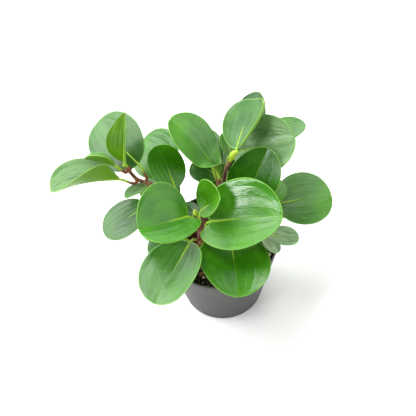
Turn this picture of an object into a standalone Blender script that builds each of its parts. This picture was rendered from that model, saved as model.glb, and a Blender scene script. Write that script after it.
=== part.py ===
"""Potted baby rubber plant: glossy leaves on five stems in a plain nursery pot.

Metres, +Z up. The origin is the middle of the pot's base, on the surface it stands on.
+X is to the right of the plant's front and +Y is away from it.
"""
import math
from collections import namedtuple

import bmesh
import bpy
from mathutils import Matrix, Vector

MM = 0.001
GAP = 0.3 * MM

# Pot, in millimetres: a 10.5 cm nursery pot
POT_RIM_RADIUS = 52.5
POT_BASE_RADIUS = 36.5
POT_HEIGHT = 78.0
POT_WALL = 1.6
POT_FLOOR = 2.4
EDGE_ROUND = 0.8
POT_STEPS = 48
DRAIN_HOLES = 6
DRAIN_RADIUS = 3.5
DRAIN_CIRCLE = 22.0
DRAIN_STEPS = 12

# Soil
SOIL_TOP = 70.0
SOIL_EDGE = 65.0
SOIL_RINGS = 7
SOIL_STEPS = 30
SOIL_LUMP = 1.1
HOLE_BOTTOM = 55.0
HOLE_CLEARANCE = 0.4
HOLE_STEPS = 12

# Stems and petioles
STEM_FOOT = 56.0
STEM_FOOT_RADIUS = 2.6
STEM_TIP_RADIUS = 1.6
STEM_SIDES_LEVEL = 2
PETIOLE_STEM_RADIUS = 1.35
PETIOLE_BLADE_RADIUS = 1.05
PETIOLE_ROOT = 1.5
PETIOLE_LEAN = 1.6
PETIOLE_POINTS = 5
PETIOLE_BURIED = 3.5
PETIOLE_SIDES_LEVEL = 1

# Blades
BLADE_THICKNESS = 1.2
BLADE_CELLS = 6
LOBE_SPREAD = 0.25
CUP_REACH = 0.35
CUP_LIMIT = 120.0
HEM_START = 0.75

# Every stem as the points it passes, in millimetres, from above the soil to its tip
STEMS = {
    "left": [(-22, 6, 74), (-29, 10, 95), (-40, 14, 125), (-55, 15, 146), (-67, 15, 155), (-75, 20, 166)],
    "middle": [(4, 12, 74), (3, 14, 100), (6, 18, 133), (9, 17, 156), (13, 17, 167)],
    "front": [(-15, -17, 74), (-18, -19, 95), (-17, -20, 115), (-15, -17, 128), (-18, -15, 136)],
    "right": [(24, -2, 74), (29, -3, 90), (33, -3, 108), (34, -2, 120)],
    "rear": [(12, 28, 74), (18, 34, 95), (24, 42, 122), (27, 45, 134)],
}

# A leaf: the height where its petiole leaves the stem, the point where the blade begins,
# the way the midrib points (heading, rise) and the roll about it, in degrees, then the
# blade's length and width in millimetres and what shapes it: taper widens the tip half,
# fold and curl raise the sides, arch bends the midrib down, lobe makes a heart base, point
# narrows the tip and foot the base, ease flattens the fold towards the tip, cup raises the
# sides at the base, hem turns the margin up and left holds what is other on the left side
Leaf = namedtuple("Leaf", "node base heading rise roll length width "
                          "taper fold curl arch lobe point foot ease cup hem left",
                  defaults=(0.02, 0, 8, 13, 0, 0, 0, 0, 0, 0, {}))

LEAVES = {
    "left": [
        Leaf(155, (-82, 11, 164), 200, 13, 8, 60, 51, taper=0.0, fold=12, arch=22,
             left={"width": 42, "fold": 95, "ease": 60, "lobe": -0.12}),
        Leaf(150, (-65, 23, 166), 124, 0, -30, 62, 50, taper=0.06, arch=12),
        Leaf(164, (-76, 20, 173), 78, 57, -48, 44, 36, taper=-0.4, fold=20, point=0.5),
        Leaf(164, (-84, 18, 173), 168, 14, 25, 26, 17, fold=30, point=0.3, left={"fold": 60}),
        Leaf(147, (-60, 16, 143), 202, -8, 10, 21, 14, fold=25),
        Leaf(115, (-62, 15, 117), 201, -20, 4, 46, 39, taper=0.06, arch=15),
        Leaf(128, (-37, 35, 142), 122, -12, -30, 52, 48, curl=6),
        Leaf(122, (-35, 14, 139), 114, 36, 14, 41, 35, taper=0.04, curl=6, arch=15),
        Leaf(104, (-38, 26, 106), 130, -8, 0, 40, 36),
        Leaf(94, (-42, 6, 100), 188, -12, 0, 28, 30),
    ],
    "middle": [
        Leaf(134, (3, 21, 146), 142, 43, 4, 65, 44, taper=0.1, fold=6, curl=14, arch=25, foot=0.7, cup=80,
             left={"width": 40, "foot": 0.4, "cup": 280}),
        Leaf(164, (19, 24, 175), 66, 12, -25, 50, 42, taper=0.14, curl=24, hem=90, foot=0.6,
             left={"hem": 0, "foot": 0}),
        Leaf(130, (17, 43, 146), -10, 24, 30, 59, 54, taper=0.0, fold=3, curl=10, arch=17),
        Leaf(110, (4, 36, 122), 138, 2, 0, 30, 33),
        Leaf(158, (15, 35, 154), 108, 30, 0, 20, 14, fold=20),
        Leaf(125, (1, 34, 140), 106, 16, 0, 33, 28),
        Leaf(96, (1, 31, 98), 94, -6, 0, 40, 30),
        Leaf(120, (-3, 45, 132), 104, 8, 0, 38, 32),
    ],
    "front": [
        Leaf(120, (-8, -23.5, 139), -10, 14, 24, 63, 54, taper=-0.2, fold=6, curl=12, arch=8, lobe=0.2,
             left={"width": 68, "taper": 0, "lobe": 0.18}),
        Leaf(123, (-26, -19, 142), 203, 14, -20, 46, 68, taper=-0.1, fold=10, curl=18, arch=12, lobe=0.06,
             left={"width": 43, "taper": 0.08, "lobe": 0.28}),
        Leaf(127, (-15, -17.5, 147), -28, 56, 33, 34, 25, taper=0.35, fold=10, curl=20, lobe=0.05,
             left={"width": 42, "taper": 0.1}),
        Leaf(112, (-26, -33, 125), 238, -10, 15, 63, 56, taper=0.03, fold=6, curl=14, arch=12),
        Leaf(105, (8, -26, 118), 273, -8, -10, 57, 61, taper=-0.15, fold=4, curl=13, arch=20, lobe=0.06,
             left={"taper": 0, "lobe": 0.03}),
        Leaf(98, (-33, -18, 108), 190, -9, 0, 32, 28),
        Leaf(86, (-34, -30, 100), 231, -16, 0, 33, 28),
        Leaf(88, (8, -26, 98), 282, -14, 0, 36, 32),
        Leaf(110, (-20, -11, 121), 112, 12, 0, 22, 17),
    ],
    "right": [
        Leaf(114, (23, 0, 128), 50, 48, 14, 54, 45, fold=8, curl=12, arch=20, left={"taper": -0.2}),
        Leaf(104, (52, 10, 111), 14, -10, 22, 53, 49, taper=-0.02, lobe=0.02),
        Leaf(104, (36.5, -31, 123), 302, -2, 0, 21, 13),
        Leaf(100, (43, -22, 109), 5, -18, 6, 27, 20, arch=16),
        Leaf(94, (42, 12, 96), 40, -10, 0, 46, 42),
        Leaf(109, (34, 7, 118), 44, 6, 0, 32, 32),
    ],
    "rear": [
        Leaf(128, (27, 66, 138), 54, 48, -12, 44, 34, point=0.3),
        Leaf(118, (44, 62, 136), 23, 4, -14, 43, 35),
        Leaf(102, (10, 52, 108), 108, -8, 0, 50, 42),
        Leaf(96, (30, 54, 100), 66, -12, 0, 50, 45),
        Leaf(110, (8, 52, 116), 120, -3, 0, 42, 40),
        Leaf(108, (42, 54, 116), 74, -4, 0, 40, 36),
    ],
}

# A growing tip: the stem it ends, its length and its widest radius in millimetres
BUDS = {"left": (5, 1.5), "middle": (16, 3.4), "front": (8, 2.7), "right": (9, 2.2), "rear": (10, 2.6)}
BUD_SIDES = 10
BUD_RINGS = 7


def clear_scene():
    for obj in list(bpy.data.objects):
        bpy.data.objects.remove(obj, do_unlink=True)


def collection(name):
    group = bpy.data.collections.new(name)
    bpy.context.scene.collection.children.link(group)
    return group


def material(name, colour, roughness, metallic=0.0):
    mat = bpy.data.materials.new(name)
    mat.use_nodes = True
    shader = mat.node_tree.nodes["Principled BSDF"]
    shader.inputs["Base Color"].default_value = (*colour, 1.0)
    shader.inputs["Roughness"].default_value = roughness
    shader.inputs["Metallic"].default_value = metallic
    mat.diffuse_color = (*colour, 1.0)
    return mat


def mesh_object(name, bm, group):
    mesh = bpy.data.meshes.new(name)
    bm.to_mesh(mesh)
    bm.free()
    obj = bpy.data.objects.new(name, mesh)
    group.objects.link(obj)
    return obj


def evaluated_mesh(obj):
    bpy.context.view_layer.update()
    depsgraph = bpy.context.evaluated_depsgraph_get()
    return bpy.data.meshes.new_from_object(obj.evaluated_get(depsgraph))


def smooth(obj, mat, angle=40):
    obj.data.materials.clear()
    obj.data.materials.append(mat)
    obj.data.shade_smooth()
    obj.data.set_sharp_from_angle(angle=math.radians(angle))


def turned(name, profile, steps, group):
    """Turn a profile of (radius, height) points, in millimetres, once round +Z."""
    bm = bmesh.new()
    verts = [bm.verts.new((r * MM, 0, z * MM)) for r, z in profile]
    for a, b in zip(verts, verts[1:]):
        bm.edges.new((a, b))
    obj = mesh_object(name, bm, group)
    screw = obj.modifiers.new("Turn", "SCREW")
    screw.steps = steps
    screw.render_steps = steps
    screw.use_merge_vertices = True
    screw.merge_threshold = 0.00001
    return obj


def bore(name, radius, bottom, top, centre, steps, group):
    """A plain round cutter from one height to another, in millimetres."""
    depth = (top - bottom) * MM
    bm = bmesh.new()
    bmesh.ops.create_cone(bm, cap_ends=True, segments=steps, radius1=radius * MM,
                          radius2=radius * MM, depth=depth)
    obj = mesh_object(name, bm, group)
    obj.location = (centre[0] * MM, centre[1] * MM, bottom * MM + depth / 2)
    obj.hide_render = True
    obj.display_type = "WIRE"
    return obj


def cut(obj, cutter):
    modifier = obj.modifiers.new("Cut " + cutter.name, "BOOLEAN")
    modifier.operation = "DIFFERENCE"
    modifier.object = cutter


def tube(name, points, radii, sides_level, group):
    """A closed tube through points in metres, as a mesh with its caps welded."""
    curve = bpy.data.curves.new(name, "CURVE")
    curve.dimensions = "3D"
    curve.bevel_depth = 1.0
    curve.bevel_resolution = sides_level
    curve.use_fill_caps = True
    spline = curve.splines.new("POLY")
    spline.points.add(len(points) - 1)
    for knot, point, radius in zip(spline.points, points, radii):
        knot.co = (*point, 1.0)
        knot.radius = radius * MM
    guide = bpy.data.objects.new(name + "_guide", curve)
    group.objects.link(guide)
    mesh = evaluated_mesh(guide)
    bm = bmesh.new()
    bm.from_mesh(mesh)
    bmesh.ops.remove_doubles(bm, verts=bm.verts, dist=0.00001)
    bm.to_mesh(mesh)
    bm.free()
    obj = bpy.data.objects.new(name, mesh)
    obj.matrix_world = guide.matrix_world
    group.objects.link(obj)
    bpy.data.objects.remove(guide, do_unlink=True)
    bpy.data.curves.remove(curve)
    return obj


def wall_radius(height):
    """The pot's outer radius at a height, in millimetres."""
    return POT_BASE_RADIUS + (POT_RIM_RADIUS - POT_BASE_RADIUS) * height / POT_HEIGHT


def make_pot(parts, cutters, mat):
    round_low = POT_HEIGHT - EDGE_ROUND
    profile = [
        (0, POT_FLOOR),
        (wall_radius(POT_FLOOR) - POT_WALL, POT_FLOOR),
        (wall_radius(round_low) - POT_WALL, round_low),
        (POT_RIM_RADIUS - POT_WALL / 2, POT_HEIGHT),
        (wall_radius(round_low), round_low),
        (wall_radius(2 * EDGE_ROUND), 2 * EDGE_ROUND),
        (POT_BASE_RADIUS - EDGE_ROUND, 0),
        (0, 0),
    ]
    pot = turned("pot", profile, POT_STEPS, parts)
    for i in range(DRAIN_HOLES):
        angle = 2 * math.pi * i / DRAIN_HOLES
        centre = (DRAIN_CIRCLE * math.cos(angle), DRAIN_CIRCLE * math.sin(angle))
        drain = bore(f"drain_{i + 1}", DRAIN_RADIUS, -POT_FLOOR, 2 * POT_FLOOR, centre, DRAIN_STEPS, cutters)
        cut(pot, drain)
    smooth(pot, mat)
    return pot


def soil_height(x, y):
    """The soil's surface in millimetres: low lumps from three crossing waves."""
    waves = math.sin(0.31 * x + 0.6) * math.cos(0.27 * y) + 0.6 * math.sin(0.19 * x - 0.37 * y)
    return SOIL_TOP + SOIL_LUMP * waves - 0.0012 * (x * x + y * y)


def make_soil(parts, cutters, mat):
    """A filled cone frustum, a gap inside the pot, with a lumpy top and a hole for each stem."""
    clear = GAP / MM
    floor = POT_FLOOR + clear
    low_radius = wall_radius(floor) - POT_WALL - clear
    top_radius = wall_radius(SOIL_EDGE) - POT_WALL - clear
    profile = [(top_radius * i / SOIL_RINGS, SOIL_TOP) for i in range(SOIL_RINGS + 1)]
    soil = turned("soil", profile + [(low_radius, floor), (0, floor)], SOIL_STEPS, parts)
    mesh = evaluated_mesh(soil)
    soil.modifiers.clear()
    soil.data = mesh
    for vert in mesh.vertices:
        if vert.co.z > (SOIL_TOP - 1) * MM:
            vert.co.z = soil_height(vert.co.x / MM, vert.co.y / MM) * MM
    for name, points in STEMS.items():
        hole = bore("hole_" + name, STEM_FOOT_RADIUS + HOLE_CLEARANCE, HOLE_BOTTOM,
                    SOIL_TOP + 4 * SOIL_LUMP, points[0], HOLE_STEPS, cutters)
        cut(soil, hole)
    smooth(soil, mat)
    return soil


def stem_radius(points, height):
    """The stem's radius at a height: it thins evenly from foot to tip."""
    share = (height - STEM_FOOT) / (points[-1][2] - STEM_FOOT)
    return STEM_FOOT_RADIUS + (STEM_TIP_RADIUS - STEM_FOOT_RADIUS) * share


def stem_at(points, height):
    """The stem's middle and its direction at a height, in metres."""
    for a, b in zip(points, points[1:]):
        if height <= b[2]:
            break
    start = Vector(a) * MM
    end = Vector(b) * MM
    share = (height - a[2]) / (b[2] - a[2])
    return start.lerp(end, share), (end - start).normalized()


def make_stem(name, points, parts, mat):
    foot = (points[0][0], points[0][1], STEM_FOOT)
    route = [foot] + points
    radii = [stem_radius(points, p[2]) for p in route]
    stem = tube("stem_" + name, [Vector(p) * MM for p in route], radii, STEM_SIDES_LEVEL, parts)
    smooth(stem, mat)
    return stem


def blade_point(u, v, leaf):
    """A point of the blade's upper face, in metres: u runs base to tip, v across, both -1 to 1."""
    x = u * math.sqrt(1 - v * v / 2)
    y = v * math.sqrt(1 - u * u / 2)
    if y > 0:
        leaf = leaf._replace(**leaf.left)
    half_chord = math.sqrt(max(1 - x * x, 0))
    share = (x + 1) / 2
    across = y / half_chord if half_chord > 0.001 else 0.0
    half_width = leaf.width / 2 * half_chord * (1 + leaf.taper * x)
    half_width *= (1 - leaf.point * share ** 3) * (1 - leaf.foot * (1 - share) ** 3)
    bend = math.radians(leaf.arch)
    slope = bend / 2 - bend * share
    radius = leaf.length / bend
    along = radius * (math.sin(bend / 2) - math.sin(slope))
    height = radius * (math.cos(slope) - math.cos(bend / 2))
    cup = min(leaf.cup * max(1 - share / CUP_REACH, 0) ** 2, CUP_LIMIT)
    fold = math.radians(leaf.fold - leaf.ease * share + cup)
    curl = math.radians(leaf.curl)
    reach = min(abs(across), HEM_START)
    turned = fold + curl * reach
    hem = curl + math.radians(leaf.hem) / (1 - HEM_START)
    edge = turned + hem * (abs(across) - reach)
    side = (math.sin(turned) - math.sin(fold)) / curl + (math.sin(edge) - math.sin(turned)) / hem
    lift = (math.cos(fold) - math.cos(turned)) / curl + (math.cos(turned) - math.cos(edge)) / hem
    lift *= half_width
    lobe = leaf.lobe * leaf.length * (1 - share) ** 3 * (1 - math.exp(-(y / LOBE_SPREAD) ** 2))
    return Vector((along - math.sin(slope) * lift - lobe,
                   math.copysign(half_width * side, across),
                   height + math.cos(slope) * lift)) * MM


def blade_matrix(leaf):
    turn = (Matrix.Rotation(math.radians(leaf.heading), 4, "Z")
            @ Matrix.Rotation(math.radians(-leaf.rise), 4, "Y")
            @ Matrix.Rotation(math.radians(leaf.roll), 4, "X"))
    return Matrix.Translation(Vector(leaf.base) * MM) @ turn


def petiole_points(leaf, points):
    """The petiole's way: square off the stem, then a smooth bend into the midrib."""
    middle, way = stem_at(points, leaf.node)
    base = Vector(leaf.base) * MM
    out = base - middle
    out = (out - way * out.dot(way)).normalized()
    start = middle + out * (stem_radius(points, leaf.node) * MM + GAP)
    root = start + out * PETIOLE_ROOT * MM
    matrix = blade_matrix(leaf)
    sunk = Vector((0, 0, -BLADE_THICKNESS * MM / 2))
    midrib = (matrix.to_3x3() @ (blade_point(-0.8, 0, leaf) - blade_point(-1, 0, leaf))).normalized()
    end = matrix @ (blade_point(-1, 0, leaf) + sunk)
    reach = (end - root).length
    lean = max((end - root).normalized().dot(way), 0)
    leave = (out + way * PETIOLE_LEAN * lean).normalized()
    route = [start]
    for i in range(PETIOLE_POINTS):
        t = i / (PETIOLE_POINTS - 1)
        route.append(root * (1 + 2 * t) * (1 - t) ** 2 + end * t * t * (3 - 2 * t)
                     + leave * reach * t * (1 - t) ** 2 + midrib * reach * t * t * (t - 1))
    route.append(matrix @ (blade_point(-1 + 2 * PETIOLE_BURIED / leaf.length, 0, leaf) + sunk))
    return route


def make_leaf(name, leaf, points, parts, mat):
    """A blade with its petiole grown on, as one closed body."""
    bm = bmesh.new()
    bmesh.ops.create_grid(bm, x_segments=BLADE_CELLS, y_segments=BLADE_CELLS, size=1.0)
    for vert in bm.verts:
        vert.co = blade_point(vert.co.x, vert.co.y, leaf)
    bmesh.ops.triangulate(bm, faces=bm.faces)
    blade = mesh_object(name, bm, parts)
    blade.matrix_world = blade_matrix(leaf)
    thick = blade.modifiers.new("Thickness", "SOLIDIFY")
    thick.thickness = BLADE_THICKNESS * MM
    thick.offset = -1.0
    route = petiole_points(leaf, points)
    last = len(route) - 1
    radii = [PETIOLE_STEM_RADIUS + (PETIOLE_BLADE_RADIUS - PETIOLE_STEM_RADIUS) * i / last
             for i in range(last + 1)]
    petiole = tube(name + "_petiole", route, radii, PETIOLE_SIDES_LEVEL, parts)
    union = blade.modifiers.new("Petiole", "BOOLEAN")
    union.operation = "UNION"
    union.object = petiole
    mesh = evaluated_mesh(blade)
    blade.modifiers.clear()
    blade.data = mesh
    bpy.data.objects.remove(petiole, do_unlink=True)
    smooth(blade, mat)
    return blade


def make_bud(name, points, length, width, parts, mat):
    """A young rolled leaf at a stem's tip: a spindle that carries on along the stem."""
    bm = bmesh.new()
    bmesh.ops.create_uvsphere(bm, u_segments=BUD_SIDES, v_segments=BUD_RINGS, radius=1.0)
    for vert in bm.verts:
        share = (vert.co.z + 1) / 2
        swell = width * (1.25 - 0.75 * share) * MM
        vert.co = Vector((vert.co.x * swell, vert.co.y * swell, share * length * MM))
    bud = mesh_object("bud_" + name, bm, parts)
    tip, way = stem_at(points, points[-1][2])
    bud.location = tip + way * GAP
    bud.rotation_mode = "QUATERNION"
    bud.rotation_quaternion = way.to_track_quat("Z", "Y")
    smooth(bud, mat)
    return bud


def main():
    clear_scene()
    parts = collection("potted_baby_rubber_plant")
    cutters = collection("cutters")
    leaf_green = material("leaf_green", (0.10, 0.30, 0.05), 0.28)
    young_green = material("young_green", (0.42, 0.52, 0.06), 0.4)
    stem_brown = material("stem_brown", (0.20, 0.09, 0.05), 0.6)
    soil_brown = material("soil_brown", (0.045, 0.028, 0.018), 0.95)
    pot_grey = material("pot_grey", (0.15, 0.15, 0.16), 0.55)
    make_pot(parts, cutters, pot_grey)
    make_soil(parts, cutters, soil_brown)
    for name, points in STEMS.items():
        make_stem(name, points, parts, stem_brown)
        for i, leaf in enumerate(LEAVES[name]):
            make_leaf(f"leaf_{name}_{i + 1}", leaf, points, parts, leaf_green)
        length, width = BUDS[name]
        make_bud(name, points, length, width, parts, young_green)


main()
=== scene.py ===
"""Looks of the potted baby rubber plant: fine leaves, stems, soil and pot over the fixed frame.

Metres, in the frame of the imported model. Sizes of the plant and its pot are in millimetres, as
in the part's own source, and are turned into metres by MM.
"""
import math
import random
from collections import namedtuple

import bpy
import numpy as np
from mathutils import Matrix, Vector, noise


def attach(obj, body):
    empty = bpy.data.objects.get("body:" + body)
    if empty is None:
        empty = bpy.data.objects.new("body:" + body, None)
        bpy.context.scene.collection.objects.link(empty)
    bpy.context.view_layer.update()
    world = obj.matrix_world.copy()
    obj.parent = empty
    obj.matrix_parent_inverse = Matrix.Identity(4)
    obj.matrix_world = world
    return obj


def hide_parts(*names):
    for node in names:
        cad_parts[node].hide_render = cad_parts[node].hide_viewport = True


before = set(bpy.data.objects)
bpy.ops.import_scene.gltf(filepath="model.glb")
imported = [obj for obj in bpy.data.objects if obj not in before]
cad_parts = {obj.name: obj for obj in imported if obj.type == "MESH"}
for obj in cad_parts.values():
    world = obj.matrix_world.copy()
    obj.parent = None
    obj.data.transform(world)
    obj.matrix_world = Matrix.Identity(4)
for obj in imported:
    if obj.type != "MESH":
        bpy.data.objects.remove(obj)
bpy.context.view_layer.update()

MM = 0.001
SEED = 7

# Pot, as built in the frame, in millimetres
POT_RIM_RADIUS = 52.5
POT_BASE_RADIUS = 36.5
POT_HEIGHT = 78.0
POT_WALL = 1.6
POT_FLOOR = 2.4
POT_STEPS = 144
POT_SHARP = math.radians(35)
WALL_HEIGHTS = range(12, 73, 6)
ROUND_STEPS = 6
RIM_ROUND = 0.8
RIM_INSET = 0.1
CORNER_ROUND = 2.0
FOOT_ROUND = 1.4
DRAIN_HOLES = 6
DRAIN_RADIUS = 3.5
DRAIN_CIRCLE = 22.0
DRAIN_DEPTH = 20.0
DRAIN_SIDES = 32

# Soil: its surface has low lumps, falls a little to the wall and is crumbly on top
SOIL_TOP = 70.0
SOIL_EDGE = 65.0
SOIL_RINGS = 70
SOIL_STEPS = 150
SOIL_LUMP = 1.1
SOIL_FALL = 0.0012
CRUMB_SCALE = 0.33
CRUMB_HEIGHT = 0.9
CRUMB_DROP = 0.5
PLUG_MIDDLE = 0.4

# Loose grains: how many, least and greatest radius in millimetres, height as a share of the
# radius, share that is sunk, how jagged, and the sides and rings of each grain's mesh
Grain = namedtuple("Grain", "count sizes flat sink jag sides rings")
GRAINS = {
    "soil_crumbs": Grain(1500, (0.5, 1.5), 0.8, 0.1, 0.9, 6, 4),
    "soil_bark": Grain(190, (1.6, 3.6), 0.35, 0.1, 1.1, 8, 5),
    "soil_perlite": Grain(80, (0.8, 1.9), 0.85, 0.05, 0.7, 9, 6),
}
GRAIN_TILT = 0.35
GRAIN_NARROW = 0.7
GRAIN_JAG_SCALE = 1.7
GRAIN_SPREAD = 50

# Stems: their rings swell where petioles leave, and a pale tan scar, partly a painted highlight, lies a
# little off each ring
STEM_FOOT = 56.0
STEM_FOOT_RADIUS = 2.6
STEM_TIP_RADIUS = 1.6
STEM_SIDES = 20
STEM_STEP = 1.5
STEM_STRAIGHT = 0.35
STEM_SLIM = 0.98
NODE_SWELL = 0.13
NODE_REACH = 1.6
SCAR_HIGHLIGHT_OFFSET = 1.0
SCAR_HIGHLIGHT_WIDTH = 0.7

# Petioles, which run on under the midrib as its thinning rib
PETIOLE_STEM_RADIUS = 1.35
PETIOLE_BLADE_RADIUS = 1.05
PETIOLE_END_RADIUS = 0.12
PETIOLE_ROOT = 1.5
PETIOLE_SINK = 0.4
PETIOLE_LEAN = 1.6
PETIOLE_FLARE = 0.3
PETIOLE_FLARE_RINGS = 1.5
PETIOLE_SIDES = 12
PETIOLE_STEPS = 16
RIB_REACH = 0.62
RIB_SINK = 0.15
RIB_AHEAD = 3
RIB_THINNING = 0.8
GAP = 0.3

# Blades: stops are shares of the way from the middle to the rim
BLADE_THICKNESS = 1.2
BLADE_HALF = 0.5
LOBE_SPREAD = 0.25
CUP_REACH = 0.35
CUP_LIMIT = 120.0
HEM_START = 0.75
ACROSS_STOPS = (0.02, 0.045, 0.08, 0.13, 0.2, 0.28, 0.36, 0.44, 0.52, 0.6, 0.68, 0.76, 0.83, 0.89,
                0.935, 0.965, 0.985, 0.996, 1.0)
ALONG_STOPS = (0.08, 0.16, 0.24, 0.32, 0.4, 0.48, 0.56, 0.64, 0.72, 0.8, 0.87, 0.925, 0.96, 0.984,
               0.996, 1.0)
RIM_START = 0.94
WAVE_HEIGHT = 0.9
WAVE_BLADE = 50
VEIN_PLACES = (0.27, 0.54, 0.8)
VEIN_DEPTH = 0.12
VEIN_WIDTH = 0.08
GROOVE_DEPTH = 0.25
GROOVE_WIDTH = 0.035

# Growing tips: a rolled sheet with a slim neck whose last third curls over
BUD_ROWS = 26
BUD_COLUMNS = 34
BUD_STRAIGHT = 0.66
BUD_TURN = math.radians(150)
BUD_LONGEST = 16.0
BUD_WINDING = 3.6 * math.pi
BUD_SLANT = 0.16
BUD_NECK = 0.36
BUD_SWELL = 0.6
BUD_CORE = 0.25
BUD_SHEET = 0.28
BUD_SHEET_WIDTH = 2.2
BUD_SHEET_MOST = 1.3

# Camera: the photograph looks down on the plant at this angle, turned a little to the right
PHOTO_SIZE = 416
PHOTO_FOCAL_PX = 1100.0
SENSOR = 36.0
CAMERA_DOWN = math.radians(53.45)
CAMERA_DISTANCE = 1.109
CAMERA_TARGET = Vector((-0.0087, 0.0937, 0.0))
CAMERA_ROLL = math.radians(-4.55)
CAMERA_NEAR = 0.05

# Studio in metres: the floor, then each light's place, its width and height and its watts
FLOOR_HALF = 4.0
FLOOR_DROP = 0.0002
LIGHT_AIM = Vector((0, 0, 0.1))
LIGHTS = {
    "left_box": ((-1.29, 0.26, 1.05), (1.7, 1.1), 21),
    "left_core": ((-1.26, 0.26, 1.03), (1.3, 0.75), 9),
    "top_box": ((-0.36, 0.28, 1.6), (0.55, 0.55), 10),
    "front_left_box": ((-0.65, -0.6, 1.2), (0.2, 0.2), 5.5),
    "right_box": ((0.97, -0.34, 1.0), (1.0, 1.0), 8),
}

# Sky: brightest along SKY_LEAN, behind and above the plant, and dim away from it
SKY_LEAN = (-0.31, 0.85, 0.42)
SKY_RISE = (0.55, 0.92)
SKY_DIM = 0.3
SKY_BRIGHT = 3.6

# Leaf colours as linear red, green and blue; of a pair, a soft pattern mixes one into the other
LEAF_DARK = ((0.006, 0.052, 0.001), (0.012, 0.080, 0.002))
LEAF_LIGHT = ((0.038, 0.205, 0.001), (0.072, 0.290, 0.004))
# LEAF_SHEEN is painted sheen: greyish colours that stand for the bright studio reflected in the gloss
LEAF_SHEEN = ((0.16, 0.25, 0.13), (0.33, 0.45, 0.27))
LEAF_LIME = ((0.055, 0.15, 0.001), (0.10, 0.22, 0.003))
LEAF_GRAIN = (0.06, 0.30, 0.03)
LEAF_RIB = (0.26, 0.50, 0.02)
LEAF_RIM = (0.20, 0.46, 0.05)
UNDER_PLAIN = ((0.115, 0.28, 0.006), (0.26, 0.36, 0.15))
UNDER_CLOUD = (0.12, 0.24, 0.05)
UNDER_RIB = (0.34, 0.50, 0.08)
UNDER_RIM = (0.26, 0.48, 0.08)
PETIOLE_BLADE_END = (0.26, 0.44, 0.02)
PETIOLE_STEM_END = (0.17, 0.045, 0.022)

# Every stem as the points it passes, in millimetres, from above the soil to its tip
STEMS = {
    "left": [(-22, 6, 74), (-29, 10, 95), (-40, 14, 125), (-55, 15, 146), (-67, 15, 155), (-75, 20, 166)],
    "middle": [(4, 12, 74), (3, 14, 100), (6, 18, 133), (9, 17, 156), (13, 17, 167)],
    "front": [(-15, -17, 74), (-18, -19, 95), (-17, -20, 115), (-15, -17, 128), (-18, -15, 136)],
    "right": [(24, -2, 74), (29, -3, 90), (33, -3, 108), (34, -2, 120)],
    "rear": [(12, 28, 74), (18, 34, 95), (24, 42, 122), (27, 45, 134)],
}

# A leaf: the height where its petiole leaves the stem, the point where the blade begins,
# the way the midrib points (heading, rise) and the roll about it, in degrees, then the
# blade's length and width in millimetres and what shapes it: taper widens the tip half,
# fold and curl raise the sides, arch bends the midrib down, lobe makes a heart base, point
# narrows the tip and foot the base, ease flattens the fold towards the tip, cup raises the
# sides at the base, hem turns the margin up and left holds what is other on the left side
Leaf = namedtuple("Leaf", "node base heading rise roll length width "
                          "taper fold curl arch lobe point foot ease cup hem left",
                  defaults=(0.02, 0, 8, 13, 0, 0, 0, 0, 0, 0, {}))

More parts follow.
